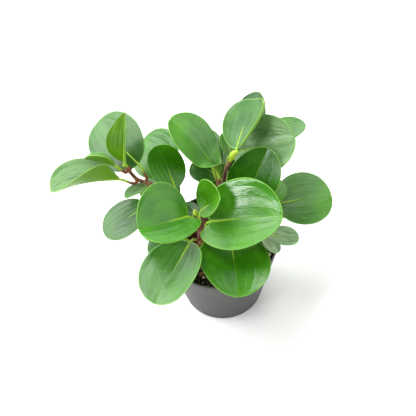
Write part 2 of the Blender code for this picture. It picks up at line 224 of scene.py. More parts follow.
LEAVES = {
    "left": [
        Leaf(155, (-82, 11, 164), 200, 13, 8, 60, 51, taper=0.0, fold=12, arch=22,
             left={"width": 42, "fold": 95, "ease": 60, "lobe": -0.12}),
        Leaf(150, (-65, 23, 166), 124, 0, -30, 62, 50, taper=0.06, arch=12),
        Leaf(164, (-76, 20, 173), 78, 57, -48, 44, 36, taper=-0.4, fold=20, point=0.5),
        Leaf(164, (-84, 18, 173), 168, 14, 25, 26, 17, fold=30, point=0.3, left={"fold": 60}),
        Leaf(147, (-60, 16, 143), 202, -8, 10, 21, 14, fold=25),
        Leaf(115, (-62, 15, 117), 201, -20, 4, 46, 39, taper=0.06, arch=15),
        Leaf(128, (-37, 35, 142), 122, -12, -30, 52, 48, curl=6),
        Leaf(122, (-35, 14, 139), 114, 36, 14, 41, 35, taper=0.04, curl=6, arch=15),
        Leaf(104, (-38, 26, 106), 130, -8, 0, 40, 36),
        Leaf(94, (-42, 6, 100), 188, -12, 0, 28, 30),
    ],
    "middle": [
        Leaf(134, (3, 21, 146), 142, 43, 4, 65, 44, taper=0.1, fold=6, curl=14, arch=25, foot=0.7, cup=80,
             left={"width": 40, "foot": 0.4, "cup": 280}),
        Leaf(164, (19, 24, 175), 66, 12, -25, 50, 42, taper=0.14, curl=24, hem=90, foot=0.6,
             left={"hem": 0, "foot": 0}),
        Leaf(130, (17, 43, 146), -10, 24, 30, 59, 54, taper=0.0, fold=3, curl=10, arch=17),
        Leaf(110, (4, 36, 122), 138, 2, 0, 30, 33),
        Leaf(158, (15, 35, 154), 108, 30, 0, 20, 14, fold=20),
        Leaf(125, (1, 34, 140), 106, 16, 0, 33, 28),
        Leaf(96, (1, 31, 98), 94, -6, 0, 40, 30),
        Leaf(120, (-3, 45, 132), 104, 8, 0, 38, 32),
    ],
    "front": [
        Leaf(120, (-8, -23.5, 139), -10, 14, 24, 63, 54, taper=-0.2, fold=6, curl=12, arch=8, lobe=0.2,
             left={"width": 68, "taper": 0, "lobe": 0.18}),
        Leaf(123, (-26, -19, 142), 203, 14, -20, 46, 68, taper=-0.1, fold=10, curl=18, arch=12, lobe=0.06,
             left={"width": 43, "taper": 0.08, "lobe": 0.28}),
        Leaf(127, (-15, -17.5, 147), -28, 56, 33, 34, 25, taper=0.35, fold=10, curl=20, lobe=0.05,
             left={"width": 42, "taper": 0.1}),
        Leaf(112, (-26, -33, 125), 238, -10, 15, 63, 56, taper=0.03, fold=6, curl=14, arch=12),
        Leaf(105, (8, -26, 118), 273, -8, -10, 57, 61, taper=-0.15, fold=4, curl=13, arch=20, lobe=0.06,
             left={"taper": 0, "lobe": 0.03}),
        Leaf(98, (-33, -18, 108), 190, -9, 0, 32, 28),
        Leaf(86, (-34, -30, 100), 231, -16, 0, 33, 28),
        Leaf(88, (8, -26, 98), 282, -14, 0, 36, 32),
        Leaf(110, (-20, -11, 121), 112, 12, 0, 22, 17),
    ],
    "right": [
        Leaf(114, (23, 0, 128), 50, 48, 14, 54, 45, fold=8, curl=12, arch=20, left={"taper": -0.2}),
        Leaf(104, (52, 10, 111), 14, -10, 22, 53, 49, taper=-0.02, lobe=0.02),
        Leaf(104, (36.5, -31, 123), 302, -2, 0, 21, 13),
        Leaf(100, (43, -22, 109), 5, -18, 6, 27, 20, arch=16),
        Leaf(94, (42, 12, 96), 40, -10, 0, 46, 42),
        Leaf(109, (34, 7, 118), 44, 6, 0, 32, 32),
    ],
    "rear": [
        Leaf(128, (27, 66, 138), 54, 48, -12, 44, 34, point=0.3),
        Leaf(118, (44, 62, 136), 23, 4, -14, 43, 35),
        Leaf(102, (10, 52, 108), 108, -8, 0, 50, 42),
        Leaf(96, (30, 54, 100), 66, -12, 0, 50, 45),
        Leaf(110, (8, 52, 116), 120, -3, 0, 42, 40),
        Leaf(108, (42, 54, 116), 74, -4, 0, 40, 36),
    ],
}

# A growing tip: the stem it ends, its length and its widest radius in millimetres
BUDS = {"left": (5, 1.5), "middle": (16, 3.4), "front": (8, 2.7), "right": (9, 2.2), "rear": (10, 2.6)}

# The looks of the leaves above, in the same order: bright, from dark 0 to light 1, then how grey,
# the share of painted sheen that greys the top and pales the underside, and how young, each from 0 to 1
LOOKS = {
    "left": [(0.58, 0.48, 0), (0.28, 0.05, 0), (0.4, 0, 0.85), (1, 0.35, 0), (1, 0.5, 0), (0.2, 0, 0),
             (0.7, 0, 0), (0.55, 0, 0), (0.2, 0, 0), (0.15, 0, 0)],
    "middle": [(1, 0.15, 0), (0.35, 0, 0), (1, 0.5, 0), (0.3, 0.05, 0), (1, 0.2, 0.3), (0.1, 0, 0),
               (0.15, 0, 0), (0.2, 0, 0)],
    "front": [(0.85, 0.03, 0), (0.92, 0, 0), (0.5, 0, 0.15), (0.37, 0.05, 0), (0.6, 0, 0), (0.15, 0, 0),
              (0.15, 0, 0), (0.15, 0, 0), (0.2, 0, 0)],
    "right": [(0.25, 0, 0), (0.9, 0.17, 0), (0.6, 1, 0), (1, 0.75, 0), (0.2, 0, 0), (1, 0, 0.2)],
    "rear": [(0, 0, 0), (0.6, 0, 0), (0.3, 0.05, 0), (0.35, 0, 0), (0.25, 0.1, 0), (0.4, 0.05, 0)],
}


class Nodes:
    """A material's node tree, with short calls that return the new node's output."""

    def __init__(self, name):
        self.material = bpy.data.materials.new(name)
        self.material.use_nodes = True
        self.tree = self.material.node_tree
        self.shader = self.tree.nodes["Principled BSDF"]

    def put(self, socket, value):
        """Link another node's output to a socket, or set its value."""
        if isinstance(value, bpy.types.NodeSocket):
            self.tree.links.new(value, socket)
        elif isinstance(value, tuple) and len(value) == 3 and socket.type == "RGBA":
            socket.default_value = (*value, 1.0)
        else:
            socket.default_value = value

    def math(self, operation, a, b=0.0):
        node = self.tree.nodes.new("ShaderNodeMath")
        node.operation = operation
        self.put(node.inputs[0], a)
        self.put(node.inputs[1], b)
        return node.outputs[0]

    def plus(self, a, b):
        return self.math("ADD", a, b)

    def minus(self, a, b):
        return self.math("SUBTRACT", a, b)

    def times(self, a, b):
        return self.math("MULTIPLY", a, b)

    def over(self, a, b):
        return self.math("DIVIDE", a, b)

    def between(self, value, low, high):
        """0 below low, 1 above high and smooth between; low may be above high."""
        node = self.tree.nodes.new("ShaderNodeMapRange")
        node.interpolation_type = "SMOOTHSTEP"
        self.put(node.inputs["Value"], value)
        node.inputs["From Min"].default_value = min(low, high)
        node.inputs["From Max"].default_value = max(low, high)
        node.inputs["To Min"].default_value = 0.0 if low < high else 1.0
        node.inputs["To Max"].default_value = 1.0 if low < high else 0.0
        return node.outputs["Result"]

    def mix(self, factor, a, b, blend="MIX"):
        node = self.tree.nodes.new("ShaderNodeMix")
        node.data_type = "RGBA"
        node.blend_type = blend
        self.put(node.inputs[0], factor)
        self.put(node.inputs[6], a)
        self.put(node.inputs[7], b)
        return node.outputs[2]

    def shade(self, colour, factor, tint):
        """A colour multiplied by a tint, as far as the factor goes."""
        return self.mix(factor, colour, tint, "MULTIPLY")

    def noise(self, scale, detail=3.0, roughness=0.5, vector=None):
        node = self.tree.nodes.new("ShaderNodeTexNoise")
        node.inputs["Scale"].default_value = scale
        node.inputs["Detail"].default_value = detail
        node.inputs["Roughness"].default_value = roughness
        self.put(node.inputs["Vector"], self.place() if vector is None else vector)
        return node.outputs["Fac"]

    def place(self):
        """The point on the object, in metres."""
        return self.tree.nodes.new("ShaderNodeTexCoord").outputs["Object"]

    def join(self, x, y, z):
        """Three numbers as one vector."""
        node = self.tree.nodes.new("ShaderNodeCombineXYZ")
        for i, value in enumerate((x, y, z)):
            self.put(node.inputs[i], value)
        return node.outputs[0]

    def split(self, vector):
        """The three numbers of a vector."""
        node = self.tree.nodes.new("ShaderNodeSeparateXYZ")
        self.tree.links.new(vector, node.inputs[0])
        return node.outputs

    def attribute(self, name):
        """The outputs for one of the mesh's point attributes."""
        node = self.tree.nodes.new("ShaderNodeAttribute")
        node.attribute_name = name
        return node.outputs

    def bump(self, height, strength, distance):
        node = self.tree.nodes.new("ShaderNodeBump")
        node.inputs["Strength"].default_value = strength
        node.inputs["Distance"].default_value = distance
        self.put(node.inputs["Height"], height)
        self.put(self.shader.inputs["Normal"], node.outputs["Normal"])

    def set(self, **values):
        """Set the shader's sockets, with _ for a space in their names, and give the material."""
        for name, value in values.items():
            self.put(self.shader.inputs[name.replace("_", " ")], value)
        return self.material


def leaf_streaks(n, along, across, chord, bright):
    """Long soft streaks that run with the veins, in another place for each brightness."""
    lengthwise = n.times(along, 1.3)
    crosswise = n.times(n.over(across, chord), 3.6)
    leaf_shift = n.plus(n.times(bright, 61.0), 9.0)
    return n.noise(1.0, 3.0, 0.6, n.join(lengthwise, crosswise, leaf_shift))


def leaf_veins(n, side, chord, edge):
    """The arched side veins as lines from 0 to 1, which fade out before the rim."""
    arched = n.over(side, chord)
    veins = 0.0
    for place in VEIN_PLACES:
        line = n.between(n.math("ABSOLUTE", n.minus(arched, place)), 0.045, 0.0)
        veins = n.math("MAXIMUM", veins, line)
    return n.times(veins, n.between(edge, 0.95, 0.7))


def leaf_material():
    """Glossy green blade with a pale midrib, arched veins, a light rim and a matte underside, with painted
    shade towards its middle and base and a painted streaky sheen.
    """
    n = Nodes("leaf")
    along, across, thick = n.split(n.attribute("blade")["Vector"])
    bright, grey, young = n.split(n.attribute("look")["Vector"])
    stalk = n.attribute("stalk")["Fac"]
    side = n.math("ABSOLUTE", across)
    along_squared = n.times(along, along)
    chord = n.math("SQRT", n.math("MAXIMUM", n.minus(1.0, along_squared), 0.01))
    edge = n.math("SQRT", n.plus(along_squared, n.times(across, across)))
    rim = n.between(edge, 0.965, 0.997)
    rib_width = n.plus(n.times(n.minus(1.0, along), 0.011), 0.006)
    rib = n.between(n.over(side, rib_width), 1.6, 0.5)
    cloud = n.between(n.noise(45.0, 4.0), 0.3, 0.7)
    grain = n.noise(600.0, 2.0)
    streak = leaf_streaks(n, along, across, chord, bright)
    veins = leaf_veins(n, side, chord, edge)

    green = n.mix(bright, n.mix(cloud, *LEAF_DARK), n.mix(cloud, *LEAF_LIGHT))
    # Painted shade: the blade is darker towards its middle, away from the rim
    centre_shade = n.between(n.plus(edge, n.times(cloud, 0.35)), 1.05, 0.3)
    green = n.shade(green, n.times(centre_shade, 0.45), (0.35, 0.55, 0.30))
    # Painted shade: the blade is darker towards its base, in streaks
    base = n.between(n.plus(along, n.times(streak, 0.8)), 0.75, -0.6)
    green = n.shade(green, n.times(base, 0.5), (0.40, 0.55, 0.40))
    # Painted sheen: as far as grey goes, the top turns to the greyish sheen colours, streaked along the
    # veins
    green = n.mix(grey, green, n.mix(n.between(streak, 0.38, 0.62), *LEAF_SHEEN))
    # Painted shade: darker streaks along the veins, between the painted sheen streaks
    green = n.shade(green, n.times(n.between(streak, 0.45, 0.7), 0.42), (0.6, 0.75, 0.5))
    green = n.mix(n.times(n.between(grain, 0.5, 0.75), 0.08), green, LEAF_GRAIN)
    green = n.shade(green, n.times(veins, 0.18), (0.5, 0.62, 0.4))
    top_rib = n.times(rib, n.plus(n.times(n.between(along, -0.3, -1.0), 0.5), 0.13))
    top = n.mix(top_rib, green, LEAF_RIB)
    top = n.mix(n.times(rim, 0.6), top, LEAF_RIM)

    pale = n.times(n.between(along, -0.6, 0.9), n.plus(n.times(grey, 0.5), 0.1))
    under = n.mix(pale, *UNDER_PLAIN)
    under = n.mix(n.times(cloud, 0.3), under, UNDER_CLOUD)
    under = n.mix(n.times(rib, 0.5), under, UNDER_RIB)
    under = n.mix(n.times(rim, 0.5), under, UNDER_RIM)

    below = n.between(thick, 0.45, 0.6)
    blade = n.mix(young, n.mix(below, top, under), n.mix(cloud, *LEAF_LIME))
    petiole = n.mix(n.between(stalk, 1.25, 1.6), PETIOLE_BLADE_END, PETIOLE_STEM_END)
    colour = n.mix(n.between(stalk, 0.4, 0.6), blade, petiole)
    rough = n.plus(n.plus(n.times(below, 0.2), n.times(cloud, 0.12)), 0.2)
    relief = n.minus(n.times(grain, 0.05), n.times(veins, 0.2))
    relief = n.plus(relief, n.times(streak, 0.85))
    relief = n.plus(relief, n.times(n.noise(130.0, 4.0), 0.5))
    n.bump(relief, strength=0.35, distance=0.0012)
    return n.set(Base_Color=colour, Roughness=rough, IOR=1.4)


def stem_material():
    """Reddish brown skin, greener towards the tip, with paler tan scars off the rings that are partly a
    painted highlight.
    """
    n = Nodes("stem")
    share = n.attribute("share")["Fac"]
    ring = n.attribute("ring")["Fac"]
    streak = n.noise(260.0, 4.0, 0.6)
    patch = n.noise(90.0, 2.0)
    brown = n.mix(n.between(streak, 0.35, 0.65), (0.026, 0.006, 0.002), (0.15, 0.048, 0.018))
    green = n.mix(streak, (0.07, 0.045, 0.006), (0.16, 0.11, 0.018))
    tip = n.between(n.plus(share, n.times(patch, 0.3)), 1.0, 1.3)
    colour = n.mix(n.times(tip, 0.7), brown, green)
    # Partly painted highlight: pale tan bands just off the rings, where the leaf scars are
    colour = n.mix(n.times(ring, 0.6), colour, (0.36, 0.19, 0.09))
    n.bump(n.plus(streak, ring), strength=0.4, distance=0.0006)
    return n.set(Base_Color=colour, Roughness=n.plus(n.times(streak, 0.3), 0.2), IOR=1.38)


def bud_material():
    """Fresh yellow-green with fine streaks, paler at the tip and brownish at the foot."""
    n = Nodes("young_leaf")
    streak = n.noise(300.0, 3.0)
    share = n.attribute("share")["Fac"]
    colour = n.mix(streak, (0.20, 0.36, 0.005), (0.38, 0.52, 0.012))
    colour = n.mix(n.between(share, 0.6, 1.0), colour, (0.34, 0.48, 0.03))
    colour = n.mix(n.between(share, 0.12, 0.0), colour, (0.16, 0.07, 0.02))
    n.bump(streak, strength=0.3, distance=0.0006)
    rough = n.plus(n.times(streak, 0.2), 0.35)
    return n.set(Base_Color=colour, Roughness=rough, Coat_Weight=0.1)


def pot_material():
    """Matte moulded plastic with fine grain, faint scuffs and a paler rim top, a painted highlight."""
    n = Nodes("pot_plastic")
    height = n.split(n.place())[2]
    grain = n.noise(1400.0, 2.0)
    cloud = n.noise(30.0, 4.0, 0.6)
    scuff = n.between(n.noise(160.0, 6.0, 0.75), 0.62, 0.72)
    # Painted highlight: the rim's top, which faces the light, is paler
    rim_top_highlight = n.between(height, (POT_HEIGHT - 1.2) * MM, POT_HEIGHT * MM)
    colour = n.mix(cloud, (0.050, 0.050, 0.049), (0.070, 0.069, 0.067))
    colour = n.mix(n.times(scuff, 0.22), colour, (0.17, 0.17, 0.17))
    colour = n.mix(n.times(rim_top_highlight, 0.35), colour, (0.19, 0.19, 0.19))
    n.bump(n.plus(n.times(grain, 0.5), cloud), strength=0.12, distance=0.0004)
    return n.set(Base_Color=colour, Roughness=n.plus(n.times(grain, 0.12), 0.48), IOR=1.42)


def soil_material():
    """Dark moist potting mix with browner patches."""
    n = Nodes("potting_soil")
    fine = n.noise(900.0, 5.0, 0.7)
    patch = n.noise(140.0, 3.0)
    colour = n.mix(fine, (0.008, 0.005, 0.0035), (0.050, 0.030, 0.018))
    colour = n.mix(n.times(n.between(patch, 0.5, 0.7), 0.5), colour, (0.085, 0.045, 0.022))
    n.bump(fine, strength=0.8, distance=0.0012)
    return n.set(Base_Color=colour, Roughness=0.92)


def bark_material():
    """Streaked reddish bark, some chips paler than others."""
    n = Nodes("bark")
    streak = n.noise(500.0, 5.0, 0.7)
    tint = n.noise(70.0, 1.0)
    colour = n.mix(streak, (0.035, 0.016, 0.008), (0.25, 0.095, 0.032))
    colour = n.mix(n.between(tint, 0.55, 0.75), colour, (0.42, 0.17, 0.06))
    n.bump(streak, strength=0.7, distance=0.0008)
    return n.set(Base_Color=colour, Roughness=0.8)


def perlite_material():
    """Chalky white grains full of small pits."""
    n = Nodes("perlite")
    pits = n.noise(1300.0, 4.0, 0.7)
    colour = n.mix(pits, (0.58, 0.55, 0.49), (0.86, 0.84, 0.80))
    n.bump(pits, strength=0.8, distance=0.0006)
    return n.set(Base_Color=colour, Roughness=0.85)


def floor_material():
    """A plain white ground with a barely seen mottle."""
    n = Nodes("floor")
    mottle = n.noise(6.0, 3.0)
    colour = n.mix(mottle, (0.90, 0.90, 0.90), (0.93, 0.93, 0.93))
    return n.set(Base_Color=colour, Roughness=0.9)


def mesh_piece(name, points, faces, material, replaces=(), values=None):
    """A smooth mesh riding on the one body, with its point attributes from arrays."""
    mesh = bpy.data.meshes.new(name)
    mesh.from_pydata([tuple(p) for p in points], [], faces)
    for key, data in (values or {}).items():
        kind, field = ("FLOAT_VECTOR", "vector") if data.ndim == 2 else ("FLOAT", "value")
        layer = mesh.attributes.new(key, kind, "POINT")
        layer.data.foreach_set(field, data.astype(np.float32).ravel())
    mesh.materials.append(material)
    mesh.shade_smooth()
    mesh.update()
    piece = bpy.data.objects.new(name, mesh)
    bpy.context.scene.collection.objects.link(piece)
    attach(piece, "root")
    if replaces:
        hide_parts(*replaces)
    return piece


def circle(radius, steps):
    """Points round a circle in its plane, one for each step."""
    turns = [2 * math.pi * i / steps for i in range(steps)]
    return [(radius * math.cos(turn), radius * math.sin(turn)) for turn in turns]


def round_stretch(x, y, radius, start, end, steps):
    """Points of an arc about a middle, from one angle to another, both included."""
    turns = [start + (end - start) * i / steps for i in range(steps + 1)]
    return [(x + radius * math.cos(turn), y + radius * math.sin(turn)) for turn in turns]


def ring_faces(rings, sides, start=0):
    """The quads between rings of points, and a cap on both ends."""
    faces = []
    for i in range(rings - 1):
        for j in range(sides):
            a = start + i * sides + j
            b = start + i * sides + (j + 1) % sides
            faces.append((a, b, b + sides, a + sides))
    faces.append(tuple(start + j for j in reversed(range(sides))))
    faces.append(tuple(start + (rings - 1) * sides + j for j in range(sides)))
    return faces


def sweep(route, radii, sides):
    """Points of a tube along a route of vectors, its rings turned as little as possible."""
    points = []
    normal = None
    for i, point in enumerate(route):
        way = (route[min(i + 1, len(route) - 1)] - route[max(i - 1, 0)]).normalized()
        if normal is None:
            normal = way.orthogonal().normalized()
        normal = (normal - way * normal.dot(way)).normalized()
        other = way.cross(normal)
        for a, b in circle(1, sides):
            points.append(point + (normal * a + other * b) * radii[i])
    return points


def wall_radius(height):
    """The pot's outer radius at a height, in millimetres."""
    return POT_BASE_RADIUS + (POT_RIM_RADIUS - POT_BASE_RADIUS) * height / POT_HEIGHT


def pot_profile():
    """The pot's section as radius and height: inner corner, wall, rim, wall and foot."""
    quarter = math.pi / 2
    profile = round_stretch(wall_radius(POT_FLOOR) - POT_WALL - CORNER_ROUND, POT_FLOOR + CORNER_ROUND,
                            CORNER_ROUND, -quarter, 0, ROUND_STEPS)
    profile += [(wall_radius(height) - POT_WALL, height) for height in WALL_HEIGHTS]
    profile += round_stretch(POT_RIM_RADIUS - POT_WALL / 2 - RIM_INSET, POT_HEIGHT - RIM_ROUND,
                             RIM_ROUND, math.pi, 0, 2 * ROUND_STEPS)
    profile += [(wall_radius(height), height) for height in reversed(WALL_HEIGHTS)]
    profile += round_stretch(POT_BASE_RADIUS - FOOT_ROUND, FOOT_ROUND, FOOT_ROUND, 0, -quarter, ROUND_STEPS)
    return profile


def make_pot(material):
    """The section turned about the pot's axis, then the floor's holes are cut."""
    profile = pot_profile()
    row = len(profile)
    points = []
    for a, b in circle(1, POT_STEPS):
        points += [(radius * a * MM, radius * b * MM, height * MM) for radius, height in profile]
    faces = []
    for i in range(POT_STEPS):
        here = i * row
        after = (i + 1) % POT_STEPS * row
        for j in range(row - 1):
            faces.append((here + j, after + j, after + j + 1, here + j + 1))
    faces.append(tuple(i * row for i in reversed(range(POT_STEPS))))
    faces.append(tuple(i * row + row - 1 for i in range(POT_STEPS)))
    pot = mesh_piece("pot_fine", points, faces, material, replaces=["pot"])
    for x, y in circle(DRAIN_CIRCLE * MM, DRAIN_HOLES):
        bpy.ops.mesh.primitive_cylinder_add(
            vertices=DRAIN_SIDES, radius=DRAIN_RADIUS * MM, depth=DRAIN_DEPTH * MM, location=(x, y, 0))
        cutter = bpy.context.object
        hole = pot.modifiers.new("hole", "BOOLEAN")
        hole.operation = "DIFFERENCE"
        hole.object = cutter
        bpy.context.view_layer.objects.active = pot
        bpy.ops.object.modifier_apply(modifier=hole.name)
        bpy.data.objects.remove(cutter, do_unlink=True)
    pot.data.shade_smooth()
    pot.data.set_sharp_from_angle(angle=POT_SHARP)


def soil_height(x, y):
    """The soil's surface in millimetres, as in the frame: low lumps from crossing waves."""
    waves = math.sin(0.31 * x + 0.6) * math.cos(0.27 * y) + 0.6 * math.sin(0.19 * x - 0.37 * y)
    return SOIL_TOP + SOIL_LUMP * waves - SOIL_FALL * (x * x + y * y)


def soil_surface(x, y):
    """The same surface with crumbs in it."""
    spot = Vector((x * CRUMB_SCALE, y * CRUMB_SCALE, 0.0))
    rough = noise.fractal(spot, 1.0, 2.0, 4) + abs(noise.noise(spot * 3.1))
    return soil_height(x, y) + rough * CRUMB_HEIGHT - CRUMB_DROP


def make_soil(material):
    """A crumbly top over a plain plug that fills the pot."""
    floor = POT_FLOOR + GAP
    low = wall_radius(floor) - POT_WALL - GAP
    edge = wall_radius(SOIL_EDGE) - POT_WALL - GAP
    points = [(0, 0, soil_surface(0, 0))]
    for i in range(1, SOIL_RINGS + 1):
        points += [(x, y, soil_surface(x, y)) for x, y in circle(edge * i / SOIL_RINGS, SOIL_STEPS)]
    for radius in (low, PLUG_MIDDLE * low):
        points += [(x, y, floor) for x, y in circle(radius, SOIL_STEPS)]
    faces = []
    for j in range(SOIL_STEPS):
        faces.append((0, 1 + j, 1 + (j + 1) % SOIL_STEPS))
        for i in range(SOIL_RINGS + 1):
            a = 1 + i * SOIL_STEPS + j
            b = 1 + i * SOIL_STEPS + (j + 1) % SOIL_STEPS
            faces.append((b, a, a + SOIL_STEPS, b + SOIL_STEPS))
    last = 1 + (SOIL_RINGS + 1) * SOIL_STEPS
    faces.append(tuple(last + j for j in reversed(range(SOIL_STEPS))))
    mesh_piece("soil_bed", np.array(points) * MM, faces, material, replaces=["soil"])


def lump_shape(sides, rings):
    """The points and faces of a small round body, to be bent and stretched."""
    points = [Vector((0, 0, 1))]
    for i in range(1, rings):
        tilt = math.pi * i / rings
        points += [Vector((x, y, math.cos(tilt))) for x, y in circle(math.sin(tilt), sides)]
    points.append(Vector((0, 0, -1)))
    last = 1 + (rings - 2) * sides
    faces = []
    for j in range(sides):
        k = (j + 1) % sides
        faces.append((0, 1 + j, 1 + k))
        for start in range(1, last, sides):
            faces.append((start + j, start + sides + j, start + sides + k, start + k))
        faces.append((last + j, len(points) - 1, last + k))
    return points, faces


def scatter(name, grain, material, stream):
    """Grains strewn over the soil by a seeded draw, sunk a little into it, as one piece."""
    base, base_faces = lump_shape(grain.sides, grain.rings)
    reach = wall_radius(SOIL_EDGE) - POT_WALL - GAP
    points = []
    faces = []
    for _ in range(grain.count):
        size = stream.uniform(*grain.sizes)
        radius = (reach - size) * math.sqrt(stream.random())
        angle = stream.uniform(0, 2 * math.pi)
        x = radius * math.cos(angle)
        y = radius * math.sin(angle)
        turn = Matrix.Rotation(stream.uniform(0, 2 * math.pi), 3, "Z")
        turn = turn @ Matrix.Rotation(stream.gauss(0, GRAIN_TILT), 3, "X")
        turn = turn @ Matrix.Rotation(stream.gauss(0, GRAIN_TILT), 3, "Y")
        stretch = Vector((size, size * stream.uniform(GRAIN_NARROW, 1.0), size * grain.flat))
        offset = Vector((stream.random(), stream.random(), stream.random())) * GRAIN_SPREAD
        middle = Vector((x, y, soil_surface(x, y) + size * grain.flat * (0.5 - grain.sink)))
        start = len(points)
        for point in base:
            shaken = point * (1 + grain.jag * noise.noise(point * GRAIN_JAG_SCALE + offset))
            points.append((turn @ (shaken * stretch) + middle) * MM)
        faces += [tuple(start + k for k in face) for face in base_faces]
    mesh_piece(name, points, faces, material)


def stem_share(points, height):
    """How far up a stem a height lies, from 0 at its foot to 1 at its tip."""
    return (height - STEM_FOOT) / (points[-1][2] - STEM_FOOT)


def stem_radius(points, height):
    """The stem's radius at a height, in millimetres."""
    return STEM_FOOT_RADIUS + (STEM_TIP_RADIUS - STEM_FOOT_RADIUS) * stem_share(points, height)


def stem_at(points, height):
    """The stem's middle and its direction at a height, in metres."""
    for a, b in zip(points, points[1:]):
        if height <= b[2]:
            break
    start = Vector(a) * MM
    end = Vector(b) * MM
    share = (height - a[2]) / (b[2] - a[2])
    return start.lerp(end, share), (end - start).normalized()


def smooth_between(before, a, b, after, t):
    """A point on the smooth curve from a to b, which also heeds their neighbours."""
    bend = 2 * before - 5 * a + 4 * b - after
    twist = 3 * a - before - 3 * b + after
    return 0.5 * (2 * a + (b - before) * t + bend * t * t + twist * t ** 3)


def stem_route(points):
    """The stem's middle line in millimetres: nearly straight stretches with soft bends."""
    foot = (points[0][0], points[0][1], STEM_FOOT)
    knots = [Vector(p) for p in [foot] + points]
    route = []
    for i, (a, b) in enumerate(zip(knots, knots[1:])):
        before = knots[max(i - 1, 0)]
        after = knots[min(i + 2, len(knots) - 1)]
        steps = max(2, int((b - a).length / STEM_STEP))
        for k in range(steps):
            bent = smooth_between(before, a, b, after, k / steps)
            route.append(bent.lerp(a.lerp(b, k / steps), STEM_STRAIGHT))
    route.append(knots[-1])
    return route


def make_stem(name, points, material):
    """A stem with swollen rings where the petioles leave it and a scar beside each, whose pale tan colour
    is partly a painted highlight.
    """
    rings = sorted({leaf.node for leaf in LEAVES[name]})
    route = stem_route(points)
    radii = []
    shares = []
    scars_and_highlights = []
    for point in route:
        near = min(abs(point.z - ring) for ring in rings)
        swell = NODE_SWELL * math.exp(-(near / NODE_REACH) ** 2)
        radii.append(stem_radius(points, point.z) * (STEM_SLIM + swell) * MM)
        shares += [stem_share(points, point.z)] * STEM_SIDES
        scars_and_highlights += [math.exp(-((near - SCAR_HIGHLIGHT_OFFSET) / SCAR_HIGHLIGHT_WIDTH) ** 2)] * STEM_SIDES
    tube = sweep([p * MM for p in route], radii, STEM_SIDES)
    mesh_piece("stem_" + name + "_bark", tube, ring_faces(len(route), STEM_SIDES), material,
               replaces=["stem_" + name], values={"share": np.array(shares), "ring": np.array(scars_and_highlights)})


def blade_surface(x, y, leaf):
    """Points of the blade's upper face in metres, for arrays of x along and y across, -1 to 1."""
    left = half_surface(x, y, leaf._replace(**leaf.left))
    return np.where((y > 0)[..., None], left, half_surface(x, y, leaf))


def half_surface(x, y, leaf):
    """The same face as if both its sides had the one side's outline, fold and curl."""
    half_chord = np.sqrt(np.maximum(1 - x * x, 0))
    across = np.where(half_chord > 0.001, y / np.maximum(half_chord, 0.001), 0.0)
    share = (x + 1) / 2
    half_width = leaf.width / 2 * half_chord * (1 + leaf.taper * x)
    half_width = half_width * (1 - leaf.point * share ** 3) * (1 - leaf.foot * (1 - share) ** 3)
    bend = math.radians(leaf.arch)
    slope = bend / 2 - bend * share
    radius = leaf.length / bend
    along = radius * (math.sin(bend / 2) - np.sin(slope))
    height = radius * (np.cos(slope) - math.cos(bend / 2))
    cup = np.minimum(leaf.cup * np.maximum(1 - share / CUP_REACH, 0) ** 2, CUP_LIMIT)
    fold = np.radians(leaf.fold - leaf.ease * share + cup)
    curl = math.radians(leaf.curl)
    reach = np.minimum(np.abs(across), HEM_START)
    turned = fold + curl * reach
    hem = curl + math.radians(leaf.hem) / (1 - HEM_START)
    edge = turned + hem * (np.abs(across) - reach)
    side = (np.sin(turned) - np.sin(fold)) / curl + (np.sin(edge) - np.sin(turned)) / hem
    lift = (np.cos(fold) - np.cos(turned)) / curl + (np.cos(turned) - np.cos(edge)) / hem
    lift *= half_width
    lobe = leaf.lobe * leaf.length * (1 - share) ** 3 * (1 - np.exp(-(y / LOBE_SPREAD) ** 2))
    return np.stack([along - np.sin(slope) * lift - lobe,
                     np.sign(across) * half_width * side,
                     height + np.cos(slope) * lift], -1) * MM


def blade_matrix(leaf):
    """The blade's place: rolled about its midrib, raised, turned to its heading and moved."""
    turn = (Matrix.Rotation(math.radians(leaf.heading), 4, "Z")
            @ Matrix.Rotation(math.radians(-leaf.rise), 4, "Y")
            @ Matrix.Rotation(math.radians(leaf.roll), 4, "X"))
    return Matrix.Translation(Vector(leaf.base) * MM) @ turn


def both_ways(stops):
    """The stops on both sides of the middle, from -1 to 1."""
    return np.array([-s for s in reversed(stops)] + [0.0] + list(stops))


def blade_wave(x, y, stream):
    """Three crossing swells, about -1 to 1, that each leaf has in a place of its own."""
    phase = [stream.uniform(0, 2 * math.pi) for _ in range(4)]
    return (0.5 * np.sin(2.3 * x + phase[0]) * np.sin(2.9 * y + phase[1])
            + 0.25 * np.sin(4.1 * x + 2.2 * y + phase[2])
            + 0.2 * np.sin(5.7 * y - 1.9 * x + phase[3]))


def surface_normals(surface):
    """The unit normals of a grid of points."""
    normal = np.cross(np.gradient(surface, axis=0), np.gradient(surface, axis=1))
    return normal / (np.linalg.norm(normal, axis=2)[..., None] + 1e-12)


def blade_relief(x, y, square):
    """How deep the veins are, from 0 to 1, and how deep the groove of the midrib is."""
    arc = np.abs(y) / np.sqrt(np.maximum(1 - x * x, 0.02))
    veins = sum(np.exp(-((arc - place) / VEIN_WIDTH) ** 2) for place in VEIN_PLACES)
    veins = veins * np.clip((0.95 - square) * 8, 0, 1)
    groove = np.exp(-(y / GROOVE_WIDTH) ** 2) * (1 - 0.75 * (x + 1) / 2) * (square < 0.97)
    return veins, groove


